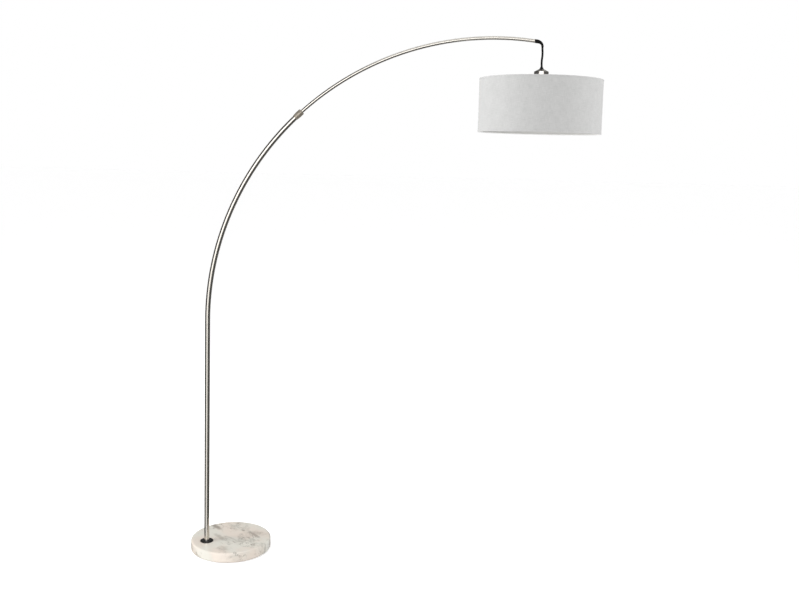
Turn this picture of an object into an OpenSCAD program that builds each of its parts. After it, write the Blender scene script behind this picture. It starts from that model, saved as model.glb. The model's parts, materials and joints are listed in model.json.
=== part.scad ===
// Arc floor lamp: marble base, telescoping arc arm and a drum shade on a short cord.
// Origin on the floor under the pole, +X along the arm, +Z up. Millimetres.

/* [Base] */
// Diameter of the marble slab
slab_d = 305; // [260:1:400]
// Thickness of the marble slab
slab_h = 36; // [28:1:60]
// Radius of the slab's upper edge
slab_round = 6; // [2:0.5:10]
// Thickness of the felt pad under the slab
felt_h = 2; // [1:0.5:4]
// Distance from the slab's centre to the pole
pole_offset = 96; // [60:1:100]
// Angle of the arm from the line through the slab's centre
arm_turn = 23.5; // [0:0.5:30]
// Diameter of the black flange at the pole's foot
flange_d = 50; // [40:1:60]
// Height of the flange where the pole stands on it
flange_h = 4.5; // [3.5:0.5:8]

/* [Pole and lower arc] */
// Outside diameter of the pole and the lower arc tube
pole_d = 19; // [18:0.5:24]
// Wall of the pole and the lower arc tube
pole_wall = 1.2; // [1:0.1:1.6]
// Height of the pole's upper end above the floor
pole_top = 886; // [700:1:1100]
// Straight length of the lower arc tube above the pole
arc_straight = 17; // [16:1:60]
// Bending radius of both arc tubes, to the middle of the tube
arc_r = 1074; // [880:1:1290]
// Angle that the lower arc tube bends through
lower_sweep = 46.8; // [40:0.1:55]
// Height of the supply lead's outlet above the flange
outlet_z = 48; // [40:1:120]

/* [Upper arc] */
// Outside diameter of the upper arc tube
arm_d = 12.7; // [12:0.1:13.5]
// Wall of the upper arc tube
arm_wall = 1; // [0.8:0.1:1.4]
// Angle of the upper tube outside the collar
upper_sweep = 49.6; // [40:0.1:56]
// Angle of the upper tube hidden in the lower one
upper_hidden = 8.5; // [5:0.1:12]

/* [Collar] */
// Wall of the twist collar around its sleeve
collar_wall = 1.25; // [0.8:0.05:3]
// Length of the twist collar
collar_l = 34; // [30:1:50]

/* [Pendant] */
// Diameter of the pendant cord
cord_d = 7.5; // [6:0.5:9]
// Diameter of the elbow where it meets the arm
elbow_d = 14; // [13:0.5:18]
// Diameter of the nickel cup
cup_d = 54; // [48:1:70]
// Height of the nickel cup's straight wall
cup_wall_h = 39; // [24:1:50]

/* [Shade] */
// Outside diameter of the shade
shade_d = 457; // [360:1:560]
// Height of the shade
shade_h = 198; // [165:1:260]
// Diameter of the wire in the shade's frame
wire_d = 3; // [2.5:0.1:4]

/* [Bulb] */
// Diameter of the bulb
bulb_d = 60; // [45:1:80]
// Length of the bulb below the lampholder
bulb_l = 84; // [70:1:110]

/* [Hidden] */
$fn = 96;
e = 0.02;                    // overrun of a cut past a face
past = 0.1;                  // the same for a bent cut, in degrees
run = 0.05;                  // radial clearance of a running fit

// Base
base_top = felt_h + slab_h;
slab_x = pole_offset * cos(arm_turn);
slab_y = pole_offset * sin(arm_turn);
felt_inset = 8;              // felt set in from the slab's edge
slab_chamfer = 2;            // lower edge
recess_r = 20;               // nut recess under the slab
recess_h = 15;
stem_r = 6;                  // hollow threaded stem
stem_bore = 4.5;
stem_slack = 0.5;            // drilled hole around the stem
washer_r = 17;
washer_h = 2.5;
nut_r = 11;
nut_h = 8;
recess_top = felt_h + recess_h;
stem_end = 1;                // stem's end below its nut
stem_low = recess_top - washer_h - nut_h - stem_end;
pole_foot = base_top + flange_h;
foot_bush_h = 30;
bush_over = 4;               // bush reaches past the stem
stem_high = pole_foot + foot_bush_h - bush_over;
hub_w = 2.5;                 // flange's hub around the pole
rim_h = 2.4;
rim_edge = 1;

// Pole, spigot and lower arc
pole_r = pole_d / 2;
pole_in = pole_r - pole_wall;
outlet_r = 5;                // hole in the pole's side wall
lead_r = 3.6;                // bore for the supply lead
grommet_lip = 1.6;
grommet_rim = 2;
outlet_at = pole_foot + outlet_z;
spigot_deep = 45;            // spigot's length inside the pole
spigot_wall = 2;
seam_h = 0.8;                // nylon washer in the joint
arc_foot = pole_top + seam_h;
arc_z = pole_top + arc_straight;
spigot_short = 2;            // spigot ends before the bend
spigot_top = arc_z - spigot_short;
groove_up = 7;               // groove that keeps the arc on the spigot
groove_z = arc_foot + groove_up;
groove_w = 3;
groove_deep = 1;
grub_r = 1.3;
grub_gap = 0.1;              // above the groove's floor
grub_sunk = 0.2;
screw_r = 2;
screw_drop = [14, 32];       // spigot screws below the pole's top

// Upper arc
arm_r = arm_d / 2;
arm_in = arm_r - arm_wall;
arm_low = lower_sweep - upper_hidden;
arm_tip = lower_sweep + upper_sweep;
bush_l = 24;                 // slide bush on the arm's inner end
plug_l = 16;
plug_bore = 4.5;
plug_head = 1.5;
plug_lap = 0.5;              // shank runs into the head
plug_over = 1;               // bore runs past both ends

// Collar, straight pieces on a line through the middle of their length
collar_mid = 13;             // from the lower tube's end back to that middle
collar_a = lower_sweep - turn(collar_mid);
collet_l = 24;
sleeve_l = 20;
sleeve_wall = 1.1;
sleeve_gap = 0.15;           // straight sleeve on a bent tube
sleeve_in = pole_r + sleeve_gap;
sleeve_r = sleeve_in + sleeve_wall;
collar_r = sleeve_r + collar_wall;
tail_gap = 0.4;              // collar's tail around the tube
collet_head = 2;
collet_slot = 1;
collar_front = 2.2;          // front wall of the collar
nose_gap = 0.4;
collar_nose = collet_head + nose_gap;
collar_gap = 0.6;            // behind the sleeve and around the arm
tail_lip = 0.7;              // collar's wall at its tail
collar_chamfer = 1.2;
swell_share = 0.6;           // share of the collar's length that tapers
swell_steps = 6;

// Arm tip and elbow
tip_x = arc_r * (1 - cos(arm_tip));
tip_z = arc_z + arc_r * sin(arm_tip);
tip_dip = arm_tip - 90;      // slope of the arm at its tip
elbow_gap = 0.3;
elbow_start = plug_head + elbow_gap;
spigot_l = 13;
elbow_reach = 30.5;          // from the arm's tip out to the cord
elbow_drop = 21;             // and down to the elbow's mouth
pendant_x = tip_x + elbow_reach;
mouth_z = tip_z - elbow_drop;
cord_r = cord_d / 2;
mouth_lip = 0.8;
mouth_r = cord_r + mouth_lip;
elbow_lead = 7;              // straight part of the elbow
elbow_steps = 14;
lead_share = 0.25;           // share of the elbow before its bend
taper_share = 0.3;           // share of it before its taper
spigot_lap = 1;              // spigot runs into the elbow

// Pendant, downwards from the elbow's mouth
cord_hang = 73;              // elbow's mouth to the cord grip
grip_top = mouth_z - cord_hang;
grip_r = 7;
grip_lip = 1;                // grip around the cord
grip_cone = 6;
grip_flange = 2;
grip_inset = 1;              // grip set in from the cup's flat top
cup_top = grip_top - grip_cone - grip_flange;
cup_cone = 9;
cup_skin = 1;
shoulder_skin = 0.6;         // drop of the inner shoulder below the outer one
cup_r = cup_d / 2;
cup_neck = 9;                // flat top of the cup
cup_low = cup_top - cup_cone - cup_wall_h;
nipple_r = 5;
nipple_l = 20;
grip_nut_r = 8;
grip_nut_h = 4.5;
holder_r = 19.5;
holder_drop = 11;            // lampholder's top below the cup's
holder_top = cup_top - holder_drop;
holder_h = 70;
holder_low = holder_top - holder_h;
holder_bore = 14.6;
holder_cup = 34;             // depth of the lampholder's mouth
contact_h = 2;
contact_r = 4;
shell_wall = 0.5;
shell_inset = 6;             // screw shell above the mouth
fitter_h = 1.6;
fitter_rim = 5;              // fitter around the cup
fitter_r = cup_r + fitter_rim;
fitter_z = cup_low - fitter_h;
ring_nut_r = cup_r - cup_skin;
ring_nut_h = 8;
holder_gap = 0.3;

// Shade
shade_r = shade_d / 2;
wire_r = wire_d / 2;
trim_t = 0.5;
fabric_t = 0.7;
lining_t = 0.5;
fabric_r = shade_r - trim_t;
lining_r = fabric_r - fabric_t;
shade_in = lining_r - lining_t;
wire_at = shade_in - wire_r;
spider_drop = 12;            // fitter below the shade's top
shade_top = fitter_z + spider_drop;
shade_low = shade_top - shade_h;
trim_w = 5;
seam_w = 12;
arms = 3;
arm_turn0 = 60;              // first spider arm
arm_wire = 2;
arm_root = 3;                // spider arm's end on the fitter

// Bulb
cap_r = 13.2;
cap_l = 24;
bulb_r = bulb_d / 2;
cap_end = 3;                 // insulating end of the bulb's cap
cap_step = 0.6;
cap_top = holder_low + holder_cup - contact_h;
glass_top = cap_top - cap_l;
glass_low = holder_low - bulb_l;
glass_neck = 12.5;
glass_t = 1;
ball_blend = 0.97;           // where the ball runs into the neck, per ball radius
ball_waist = 2;              // height of the blend's first step
neck_reach = 1.15;           // ball's middle to the neck, per ball radius
neck_steps = 8;
neck_in = 8;                 // glass neck inside the cap
tip_r = 4.5;                 // narrow end of the cap's insulator

// Route of the pendant cord: distance below the elbow's mouth, and sideways.
// It starts 2 mm down, which leaves room for the cord's end to tilt.
cord_route = [[2, 0], [9, 0.3], [17, 0.9], [26, 1.2], [35, 0.9], [43, 0.1], [51, -0.6], [60, -0.7],
    [67, -0.3], [73, 0]];

// Ring or tube about +Z: outer radius, inner radius, height
module ring(outer, inner, h) {
    difference() {
        cylinder(r = outer, h = h);
        translate([0, 0, -e]) cylinder(r = inner, h = h + 2 * e);
    }
}

// Angle that a length along the arc turns through
function turn(length) = length / arc_r * 180 / PI;

// Solid bar bent about the arc's centre, from angle a0 to angle a1 above the pole
module arc_bar(r, a0, a1) {
    translate([arc_r, 0, arc_z]) rotate([90, 0, 0]) rotate([0, 0, 180 - a1])
        rotate_extrude(angle = a1 - a0, $fn = 180) translate([arc_r, 0]) circle(r = r, $fn = 48);
}

// Puts its children at angle a of the arc, with +Z along the tube towards the tip
module on_arc(a) {
    translate([arc_r * (1 - cos(a)), 0, arc_z + arc_r * sin(a)]) rotate([0, a, 0]) children();
}

// Puts its children at height z of the pole's axis, with +Z towards +Y
module on_side(z) {
    translate([0, 0, z]) rotate([-90, 0, 0]) children();
}

module on_slab() {
    translate([slab_x, slab_y, 0]) children();
}

module on_pendant(z) {
    translate([pendant_x, 0, z]) children();
}

// One closed tube through ring centres at [x, z] in the arm's plane, with each ring's radius.
// Each ring stands square to the line between its neighbours.
module swept(pts, radii, sides) {
    n = len(pts);
    ring_dir = [for (i = [0:n - 1]) let (d = pts[min(i + 1, n - 1)] - pts[max(i - 1, 0)]) d / norm(d)];
    rings = [for (i = [0:n - 1]) for (k = [0:sides - 1])
        let (a = 360 * k / sides, u = radii[i] * cos(a), v = radii[i] * sin(a))
        [pts[i][0] - ring_dir[i][1] * u, v, pts[i][1] + ring_dir[i][0] * u]];
    walls = [for (i = [0:n - 2]) for (k = [0:sides - 1]) let (j = (k + 1) % sides)
        [i * sides + k, i * sides + j, (i + 1) * sides + j, (i + 1) * sides + k]];
    first = [for (k = [0:sides - 1]) sides - 1 - k];
    last = [for (k = [0:sides - 1]) (n - 1) * sides + k];
    polyhedron(points = rings, faces = concat([first], walls, [last]));
}

// ---- Stand ----

module felt_pad() {
    color("dimgray") on_slab() cylinder(d = slab_d - 2 * felt_inset, h = felt_h);
}

module base_slab() {
    slab_r = slab_d / 2;
    color("whitesmoke") difference() {
        translate([0, 0, felt_h]) on_slab() rotate_extrude() {
            polygon([[0, 0], [slab_r - slab_chamfer, 0], [slab_r, slab_chamfer],
                [slab_r, slab_h - slab_round], [slab_r - slab_round, slab_h], [0, slab_h]]);
            intersection() {
                translate([slab_r - slab_round, slab_h - slab_round]) circle(r = slab_round);
                translate([slab_r - slab_round, slab_h - slab_round]) square(slab_round);
            }
        }
        translate([0, 0, felt_h - e]) cylinder(r = recess_r, h = recess_h + e);
        cylinder(r = stem_r + stem_slack, h = base_top + e);
    }
}

module stem_washer() {
    color("silver") translate([0, 0, recess_top - washer_h]) ring(washer_r, stem_r, washer_h);
}

module stem_nut() {
    color("silver") translate([0, 0, recess_top - washer_h - nut_h]) difference() {
        cylinder(r = nut_r, h = nut_h, $fn = 6);
        translate([0, 0, -e]) cylinder(r = stem_r, h = nut_h + 2 * e);
    }
}

module threaded_stem() {
    color("gray") translate([0, 0, stem_low]) ring(stem_r, stem_bore, stem_high - stem_low);
}

module base_flange() {
    hub_r = pole_r + hub_w;
    rim_r = flange_d / 2;
    color([0.05, 0.05, 0.05]) translate([0, 0, base_top]) rotate_extrude()
        polygon([[stem_r, 0], [rim_r, 0], [rim_r, rim_h - rim_edge], [rim_r - rim_edge, rim_h],
            [hub_r + flange_h - rim_h, rim_h], [hub_r, flange_h], [stem_r, flange_h]]);
}

module pole_foot_bush() {
    color("gray") translate([0, 0, pole_foot]) ring(pole_in, stem_r, foot_bush_h);
}

module pole_tube() {
    color([0.66, 0.63, 0.58]) difference() {
        translate([0, 0, pole_foot]) ring(pole_r, pole_in, pole_top - pole_foot);
        on_side(outlet_at) cylinder(r = outlet_r, h = pole_d);
        for (drop = screw_drop) on_side(pole_top - drop) cylinder(r = screw_r, h = pole_d);
    }
}

module outlet_grommet() {
    color([0.08, 0.08, 0.08]) on_side(outlet_at) difference() {
        union() {
            translate([0, 0, pole_in - grommet_lip]) cylinder(r = outlet_r, h = pole_wall + 2 * grommet_lip);
            difference() {
                cylinder(r = outlet_r + grommet_rim, h = pole_r + grommet_lip);
                rotate([90, 0, 0]) translate([0, 0, -pole_r]) cylinder(r = pole_r, h = pole_d);
            }
        }
        cylinder(r = lead_r, h = pole_d);
    }
}

module pole_spigot() {
    color("gray") difference() {
        translate([0, 0, pole_top - spigot_deep]) union() {
            cylinder(r = pole_in, h = spigot_deep);
            cylinder(r = pole_in - run, h = spigot_top - pole_top + spigot_deep);
        }
        translate([0, 0, pole_top - spigot_deep - e])
            cylinder(r = pole_in - spigot_wall, h = spigot_top - pole_top + spigot_deep + 2 * e);
        translate([0, 0, groove_z - groove_w / 2]) ring(pole_r, pole_in - run - groove_deep, groove_w);
        for (drop = screw_drop) on_side(pole_top - drop) cylinder(r = screw_r, h = pole_d);
    }
}

module spigot_screws() {
    color("silver") for (drop = screw_drop) on_side(pole_top - drop)
        translate([0, 0, pole_in - spigot_wall]) cylinder(r = screw_r, h = spigot_wall + pole_wall);
}

module swivel_washer() {
    color([0.1, 0.1, 0.1]) translate([0, 0, pole_top]) ring(pole_r, pole_in, seam_h);
}

// ---- Arc ----

module arc_socket() {
    color([0.66, 0.63, 0.58]) difference() {
        translate([0, 0, arc_foot]) ring(pole_r, pole_in, arc_z - arc_foot);
        on_side(groove_z) cylinder(r = grub_r, h = pole_d);
    }
}

module arc_lower_tube() {
    color([0.66, 0.63, 0.58]) difference() {
        arc_bar(pole_r, 0, lower_sweep);
        arc_bar(pole_in, -past, lower_sweep + past);
    }
}

module swivel_grub_screw() {
    reach = pole_in - groove_deep + grub_gap;
    color("silver") on_side(groove_z) translate([0, 0, reach])
        cylinder(r = grub_r, h = pole_r - reach - grub_sunk);
}

module split_collet() {
    collet_turn = turn(collet_l);
    color([0.15, 0.15, 0.15]) difference() {
        union() {
            arc_bar(pole_in, lower_sweep - collet_turn, lower_sweep);
            on_arc(lower_sweep) cylinder(r = pole_r, h = collet_head);
        }
        arc_bar(arm_r + run, lower_sweep - 2 * collet_turn, lower_sweep + 2 * collet_turn);
        on_arc(lower_sweep) translate([pole_r, 0, -collet_l / 3])
            cube([pole_d, collet_slot, collet_l], center = true);
    }
}

// Puts its children on the collar's line, with z = 0 at the lower tube's end
module on_collar() {
    on_arc(collar_a) translate([0, 0, collar_mid]) children();
}

module collar_sleeve() {
    color("gray") on_collar() translate([0, 0, -sleeve_l]) ring(sleeve_r, sleeve_in, sleeve_l);
}

module lock_ring() {
    front = collar_nose + collar_front;
    tail = collar_l - front;
    tail_r = pole_r + tail_gap;
    step = -sleeve_l - collar_gap;
    mouth = arm_r + collar_gap;
    tail_out = tail_r + tail_lip;
    swell = swell_share * collar_l;
    color([0.55, 0.5, 0.44]) on_collar() rotate_extrude()
        polygon(concat([[mouth, front], [mouth, collar_nose],
            [sleeve_r + run, collar_nose], [sleeve_r + run, step], [tail_r, step], [tail_r, -tail]],
            [for (i = [0:swell_steps]) let (t = i / swell_steps)
                [tail_out + (collar_r - tail_out) * sin(90 * t), -tail + swell * t]],
            [[collar_r, front - collar_chamfer], [collar_r - collar_chamfer, front]]));
}

// ---- Arm ----

module arc_upper_tube() {
    color([0.7, 0.69, 0.66]) difference() {
        arc_bar(arm_r, arm_low, arm_tip);
        arc_bar(arm_in, arm_low - past, arm_tip + past);
    }
}

module slide_bush() {
    bush_turn = turn(bush_l);
    color("white") difference() {
        arc_bar(pole_in - run, arm_low, arm_low + bush_turn);
        arc_bar(arm_r, arm_low - past, arm_low + bush_turn + past);
    }
}

module tip_plug() {
    color([0.1, 0.1, 0.1]) difference() {
        union() {
            arc_bar(arm_in, arm_tip - turn(plug_l), arm_tip + turn(plug_lap));
            on_arc(arm_tip) cylinder(r = arm_r, h = plug_head);
        }
        on_arc(arm_tip) translate([0, 0, -plug_l - plug_over])
            cylinder(r = plug_bore, h = plug_l + plug_head + 2 * plug_over);
    }
}

// ---- Elbow ----

// Middle line of the elbow: straight on from the tip, then an even bend down to the mouth
function elbow_point(t) =
    let (p0 = [tip_x + elbow_start * cos(tip_dip), tip_z - elbow_start * sin(tip_dip)],
        p1 = p0 + elbow_lead * [cos(tip_dip), -sin(tip_dip)],
        corner = [pendant_x, p1[1] - (pendant_x - p1[0]) * tan(tip_dip)],
        p2 = [pendant_x, mouth_z],
        s = (t - lead_share) / (1 - lead_share))
    t < lead_share ? p0 + (p1 - p0) * t / lead_share
    : (1 - s) * (1 - s) * p1 + 2 * s * (1 - s) * corner + s * s * p2;

function elbow_radius(t) =
    t < taper_share ? elbow_d / 2
    : elbow_d / 2 + (mouth_r - elbow_d / 2) * sin(90 * (t - taper_share) / (1 - taper_share));

module elbow_boot() {
    steps = [for (i = [0:elbow_steps]) i / elbow_steps];
    color([0.04, 0.04, 0.04]) {
        swept([for (t = steps) elbow_point(t)], [for (t = steps) elbow_radius(t)], 24);
        on_arc(arm_tip) translate([0, 0, elbow_start - spigot_l])
            cylinder(r = plug_bore - run, h = spigot_l + spigot_lap);
    }
}

// ---- Pendant ----

module pendant_cord() {
    color([0.03, 0.03, 0.03]) swept([for (p = cord_route) [pendant_x + p[1], mouth_z - p[0]]],
        [for (p = cord_route) cord_r], 12);
}

module cord_grip() {
    color([0.04, 0.04, 0.04]) on_pendant(0) rotate_extrude()
        polygon([[0, grip_top], [cord_r + grip_lip, grip_top], [grip_r, cup_top + grip_flange],
            [cup_neck - grip_inset, cup_top + grip_flange], [cup_neck - grip_inset, cup_top], [nipple_r, cup_top],
            [nipple_r, cup_top - nipple_l], [0, cup_top - nipple_l]]);
}

module grip_nut() {
    color("silver") on_pendant(cup_top - cup_skin - grip_nut_h) difference() {
        cylinder(r = grip_nut_r, h = grip_nut_h, $fn = 6);
        translate([0, 0, -e]) cylinder(r = nipple_r, h = grip_nut_h + 2 * e);
    }
}

module socket_cup() {
    shoulder = cup_top - cup_cone;
    color([0.75, 0.73, 0.7]) on_pendant(0) rotate_extrude()
        polygon([[nipple_r, cup_top], [cup_neck, cup_top], [cup_r, shoulder], [cup_r, cup_low],
            [cup_r - cup_skin, cup_low], [cup_r - cup_skin, shoulder - shoulder_skin],
            [cup_neck, cup_top - cup_skin], [nipple_r, cup_top - cup_skin]]);
}

module lampholder_body() {
    color([0.08, 0.08, 0.08]) on_pendant(holder_low) difference() {
        cylinder(r = holder_r, h = holder_h);
        translate([0, 0, -e]) cylinder(r = holder_bore, h = holder_cup + e);
        translate([0, 0, holder_h - (nipple_l + holder_gap - holder_drop)])
            cylinder(r = nipple_r, h = nipple_l);
    }
}

module screw_shell() {
    color("gold") on_pendant(holder_low + shell_inset)
        ring(holder_bore, holder_bore - shell_wall, holder_cup - shell_inset);
}

module centre_contact() {
    color("gold") on_pendant(holder_low + holder_cup - contact_h) cylinder(r = contact_r, h = contact_h);
}

module spider_fitter() {
    color("silver") on_pendant(0) {
        translate([0, 0, fitter_z]) ring(fitter_r, holder_r + holder_gap, fitter_h);
        for (i = [0:arms - 1]) rotate([0, 0, arm_turn0 + i * 360 / arms]) {
            middle = fitter_z + fitter_h / 2;
            run_out = wire_at - fitter_r + arm_root;
            rise = shade_top - wire_r - trim_t - middle;
            translate([fitter_r - arm_root, 0, middle]) rotate([0, atan2(run_out, rise), 0])
                cylinder(r = arm_wire, h = norm([run_out, rise]) - wire_r, $fn = 24);
        }
    }
}

module shade_ring_nut() {
    color([0.1, 0.1, 0.1]) on_pendant(fitter_z - ring_nut_h) ring(ring_nut_r, holder_r, ring_nut_h);
}

module wire_ring(z) {
    color("silver") on_pendant(z) rotate_extrude() translate([wire_at, 0]) circle(r = wire_r, $fn = 24);
}

module shade_top_ring() {
    wire_ring(shade_top - trim_t - wire_r);
}

module shade_bottom_ring() {
    wire_ring(shade_low + trim_t + wire_r);
}

module shade_lining() {
    color("white") on_pendant(shade_low + trim_t) ring(lining_r, shade_in, shade_h - 2 * trim_t);
}

module shade_fabric() {
    color([0.87, 0.86, 0.83]) on_pendant(shade_low + trim_t) ring(fabric_r, lining_r, shade_h - 2 * trim_t);
}

// Tape folded over the shade's edge, drawn for the upper edge at z = 0
module trim_tape() {
    color([0.85, 0.84, 0.81]) rotate_extrude()
        polygon([[shade_in, -trim_t], [shade_in, 0], [shade_r, 0], [shade_r, -trim_w],
            [fabric_r, -trim_w], [fabric_r, -trim_t]]);
}

module top_trim() {
    on_pendant(shade_top) trim_tape();
}

module bottom_trim() {
    on_pendant(shade_low) mirror([0, 0, 1]) trim_tape();
}

module side_seam() {
    seam_turn = seam_w / shade_r * 180 / PI;
    color([0.85, 0.84, 0.81]) on_pendant(shade_low + trim_w) rotate([0, 0, -seam_turn / 2])
        rotate_extrude(angle = seam_turn) translate([fabric_r, 0]) square([trim_t, shade_h - 2 * trim_w]);
}

// ---- Bulb ----

// Outline of the bulb, shrunk by t: a ball that runs into a neck
module bulb_form(t) {
    ball_z = glass_low + bulb_r;
    neck_low = ball_z + bulb_r * neck_reach;
    wide_z = ball_z + ball_waist;
    wide = bulb_r * ball_blend - t;
    slim = glass_neck - t;
    rotate_extrude() polygon(concat([[0, ball_z], [wide, ball_z]],
        [for (i = [0:neck_steps]) let (u = i / neck_steps)
            [slim + (wide - slim) * (1 + cos(180 * u)) / 2, wide_z + (neck_low - wide_z) * u]],
        [[slim, glass_top + neck_in], [0, glass_top + neck_in]]));
    translate([0, 0, ball_z]) sphere(r = bulb_r - t);
}

module bulb_glass() {
    color([1, 1, 1, 0.6]) on_pendant(0) difference() {
        bulb_form(0);
        bulb_form(glass_t);
        translate([0, 0, glass_top]) cylinder(r = glass_neck - glass_t, h = neck_in + e);
    }
}

module bulb_cap() {
    color("silver") on_pendant(glass_top) ring(cap_r, glass_neck, cap_l - cap_end);
}

module bulb_contact() {
    color("dimgray") on_pendant(cap_top - cap_end) cylinder(r1 = cap_r - cap_step, r2 = tip_r, h = cap_end);
}

felt_pad();
base_slab();
stem_washer();
stem_nut();
threaded_stem();
base_flange();
pole_foot_bush();
pole_tube();
outlet_grommet();
pole_spigot();
spigot_screws();
swivel_washer();
arc_socket();
arc_lower_tube();
swivel_grub_screw();
split_collet();
collar_sleeve();
lock_ring();
arc_upper_tube();
slide_bush();
tip_plug();
elbow_boot();
pendant_cord();
cord_grip();
grip_nut();
socket_cup();
lampholder_body();
screw_shell();
centre_contact();
spider_fitter();
shade_ring_nut();
shade_top_ring();
shade_bottom_ring();
shade_lining();
shade_fabric();
top_trim();
bottom_trim();
side_seam();
bulb_glass();
bulb_cap();
bulb_contact();
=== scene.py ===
import bpy
import json
import math
from mathutils import Matrix, Vector


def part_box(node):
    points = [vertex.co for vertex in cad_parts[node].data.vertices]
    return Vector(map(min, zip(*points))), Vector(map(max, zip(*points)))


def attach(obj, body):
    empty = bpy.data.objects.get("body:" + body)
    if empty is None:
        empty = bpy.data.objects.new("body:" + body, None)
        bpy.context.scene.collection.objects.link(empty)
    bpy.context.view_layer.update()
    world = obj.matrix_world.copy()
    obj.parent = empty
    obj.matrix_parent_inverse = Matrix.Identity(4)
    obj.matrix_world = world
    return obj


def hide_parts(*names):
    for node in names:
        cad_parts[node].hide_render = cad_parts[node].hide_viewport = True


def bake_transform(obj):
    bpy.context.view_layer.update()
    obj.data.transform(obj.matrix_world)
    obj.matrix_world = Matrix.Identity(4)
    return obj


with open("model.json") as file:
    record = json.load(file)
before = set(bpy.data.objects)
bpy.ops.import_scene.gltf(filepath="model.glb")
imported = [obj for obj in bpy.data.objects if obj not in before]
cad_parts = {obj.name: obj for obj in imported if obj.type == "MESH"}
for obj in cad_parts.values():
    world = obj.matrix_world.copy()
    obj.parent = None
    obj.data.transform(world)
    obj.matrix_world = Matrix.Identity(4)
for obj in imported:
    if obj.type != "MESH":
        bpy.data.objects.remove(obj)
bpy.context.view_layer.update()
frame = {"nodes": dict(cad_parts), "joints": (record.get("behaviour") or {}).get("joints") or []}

nodes = frame["nodes"]

# ---- Camera, floor and light ----
# A view from standing height with the lens lowered a little, as for tall furniture.
# The floor and the background are plain and white. The light is soft: the main softbox stands
# to the left, a weak one to the right, and one hangs overhead.
EYE = Vector((0.5717, -3.4531, 1.5421))
LOOK_TURN = math.radians(2.39)      # from +Y towards +X
LOOK_DOWN = math.radians(6.202)
LEAN = math.radians(1.515)
LENS = 41.615                       # millimetres on a 36 mm wide film
LENS_DROP = -0.0563                 # share of the film's width

ahead = Vector((math.sin(LOOK_TURN), math.cos(LOOK_TURN), 0))
sideways = Vector((ahead.y, -ahead.x, 0))
forward = ahead * math.cos(LOOK_DOWN) - Vector((0, 0, math.sin(LOOK_DOWN)))
upward = sideways.cross(forward)
right = sideways * math.cos(LEAN) + upward * math.sin(LEAN)
top = right.cross(forward)
camera = bpy.data.objects.new("camera", bpy.data.cameras.new("camera"))
camera.data.lens = LENS
camera.data.sensor_width = 36
camera.data.shift_y = LENS_DROP
camera.data.clip_end = 100
camera.matrix_world = Matrix.Translation(EYE) @ Matrix((right, top, -forward)).transposed().to_4x4()
bpy.context.scene.collection.objects.link(camera)
bpy.context.scene.camera = camera
bpy.context.scene.view_settings.view_transform = "Standard"


class Value:
    """A number that varies over a surface: a node's output, with ordinary maths on it."""

    def __init__(self, finish, socket):
        self.finish = finish
        self.socket = socket

    def _math(self, operation, *parts):
        return self.finish.node("ShaderNodeMath", {"operation": operation}, *parts)

    def __add__(self, other):
        return self._math("ADD", self, other)

    def __radd__(self, other):
        return self._math("ADD", other, self)

    def __sub__(self, other):
        return self._math("SUBTRACT", self, other)

    def __rsub__(self, other):
        return self._math("SUBTRACT", other, self)

    def __mul__(self, other):
        return self._math("MULTIPLY", self, other)

    def __rmul__(self, other):
        return self._math("MULTIPLY", other, self)

    def __truediv__(self, other):
        return self._math("DIVIDE", self, other)

    def __abs__(self):
        return self._math("ABSOLUTE", self)

    def sin(self):
        return self._math("SINE", self)

    def sqrt(self):
        return self._math("SQRT", self)

    def most(self, other):
        return self._math("MAXIMUM", self, other)

    def angle(self, other):
        return self._math("ARCTAN2", self, other)

    def ramp(self, low, high, start=0, end=1):
        """A smooth step: start below low, end above high."""
        settings = {"interpolation_type": "SMOOTHSTEP"}
        return self.finish.node("ShaderNodeMapRange", settings, self, low, high, start, end)


class Finish:
    """A material: one surface whose inputs are plain settings or nodes."""

    def __init__(self, name, **surface):
        self.material = bpy.data.materials.new(name)
        self.material.use_nodes = True
        self.tree = self.material.node_tree
        self.surface = self.tree.nodes["Principled BSDF"]
        self.set(**surface)

    def put(self, node, inputs):
        for key, value in inputs.items():
            socket = node.inputs[key]
            if isinstance(value, Value):
                self.tree.links.new(value.socket, socket)
            elif isinstance(value, tuple) and len(value) == 3 and socket.type == "RGBA":
                socket.default_value = (*value, 1)
            else:
                socket.default_value = value

    def node(self, kind, settings, *inputs, output=0, **named):
        made = self.tree.nodes.new(kind)
        for key, value in settings.items():
            setattr(made, key, value)
        self.put(made, dict(enumerate(inputs)))
        self.put(made, {key.replace("_", " "): value for key, value in named.items()})
        return Value(self, made.outputs[output])

    def place(self):
        """The point on the surface, in the lamp's own frame."""
        return self.node("ShaderNodeTexCoord", {}, output="Object")

    def split(self, vector):
        made = self.tree.nodes.new("ShaderNodeSeparateXYZ")
        self.put(made, {0: vector})
        return [Value(self, socket) for socket in made.outputs]

    def join(self, x, y, z):
        return self.node("ShaderNodeCombineXYZ", {}, x, y, z)

    def noise(self, vector, scale, detail=2.0, roughness=0.5, distortion=0.0):
        return self.node("ShaderNodeTexNoise", {}, Vector=vector, Scale=scale, Detail=detail,
                         Roughness=roughness, Distortion=distortion)

    def blend(self, share, first, second):
        """Two colours mixed by share."""
        made = self.tree.nodes.new("ShaderNodeMix")
        made.data_type = "RGBA"
        self.put(made, {"Factor": share, 6: first, 7: second})
        return Value(self, made.outputs[2])

    def bump(self, height, distance, strength=1.0):
        relief = self.node("ShaderNodeBump", {}, Height=height, Distance=distance, Strength=strength)
        self.put(self.surface, {"Normal": relief})

    def set(self, **surface):
        self.put(self.surface, {key.replace("_", " "): value for key, value in surface.items()})
        return self.material


def paint(material, *names):
    """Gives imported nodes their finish."""
    for name in names:
        mesh = nodes[name].data
        mesh.materials.clear()
        mesh.materials.append(material)


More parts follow.
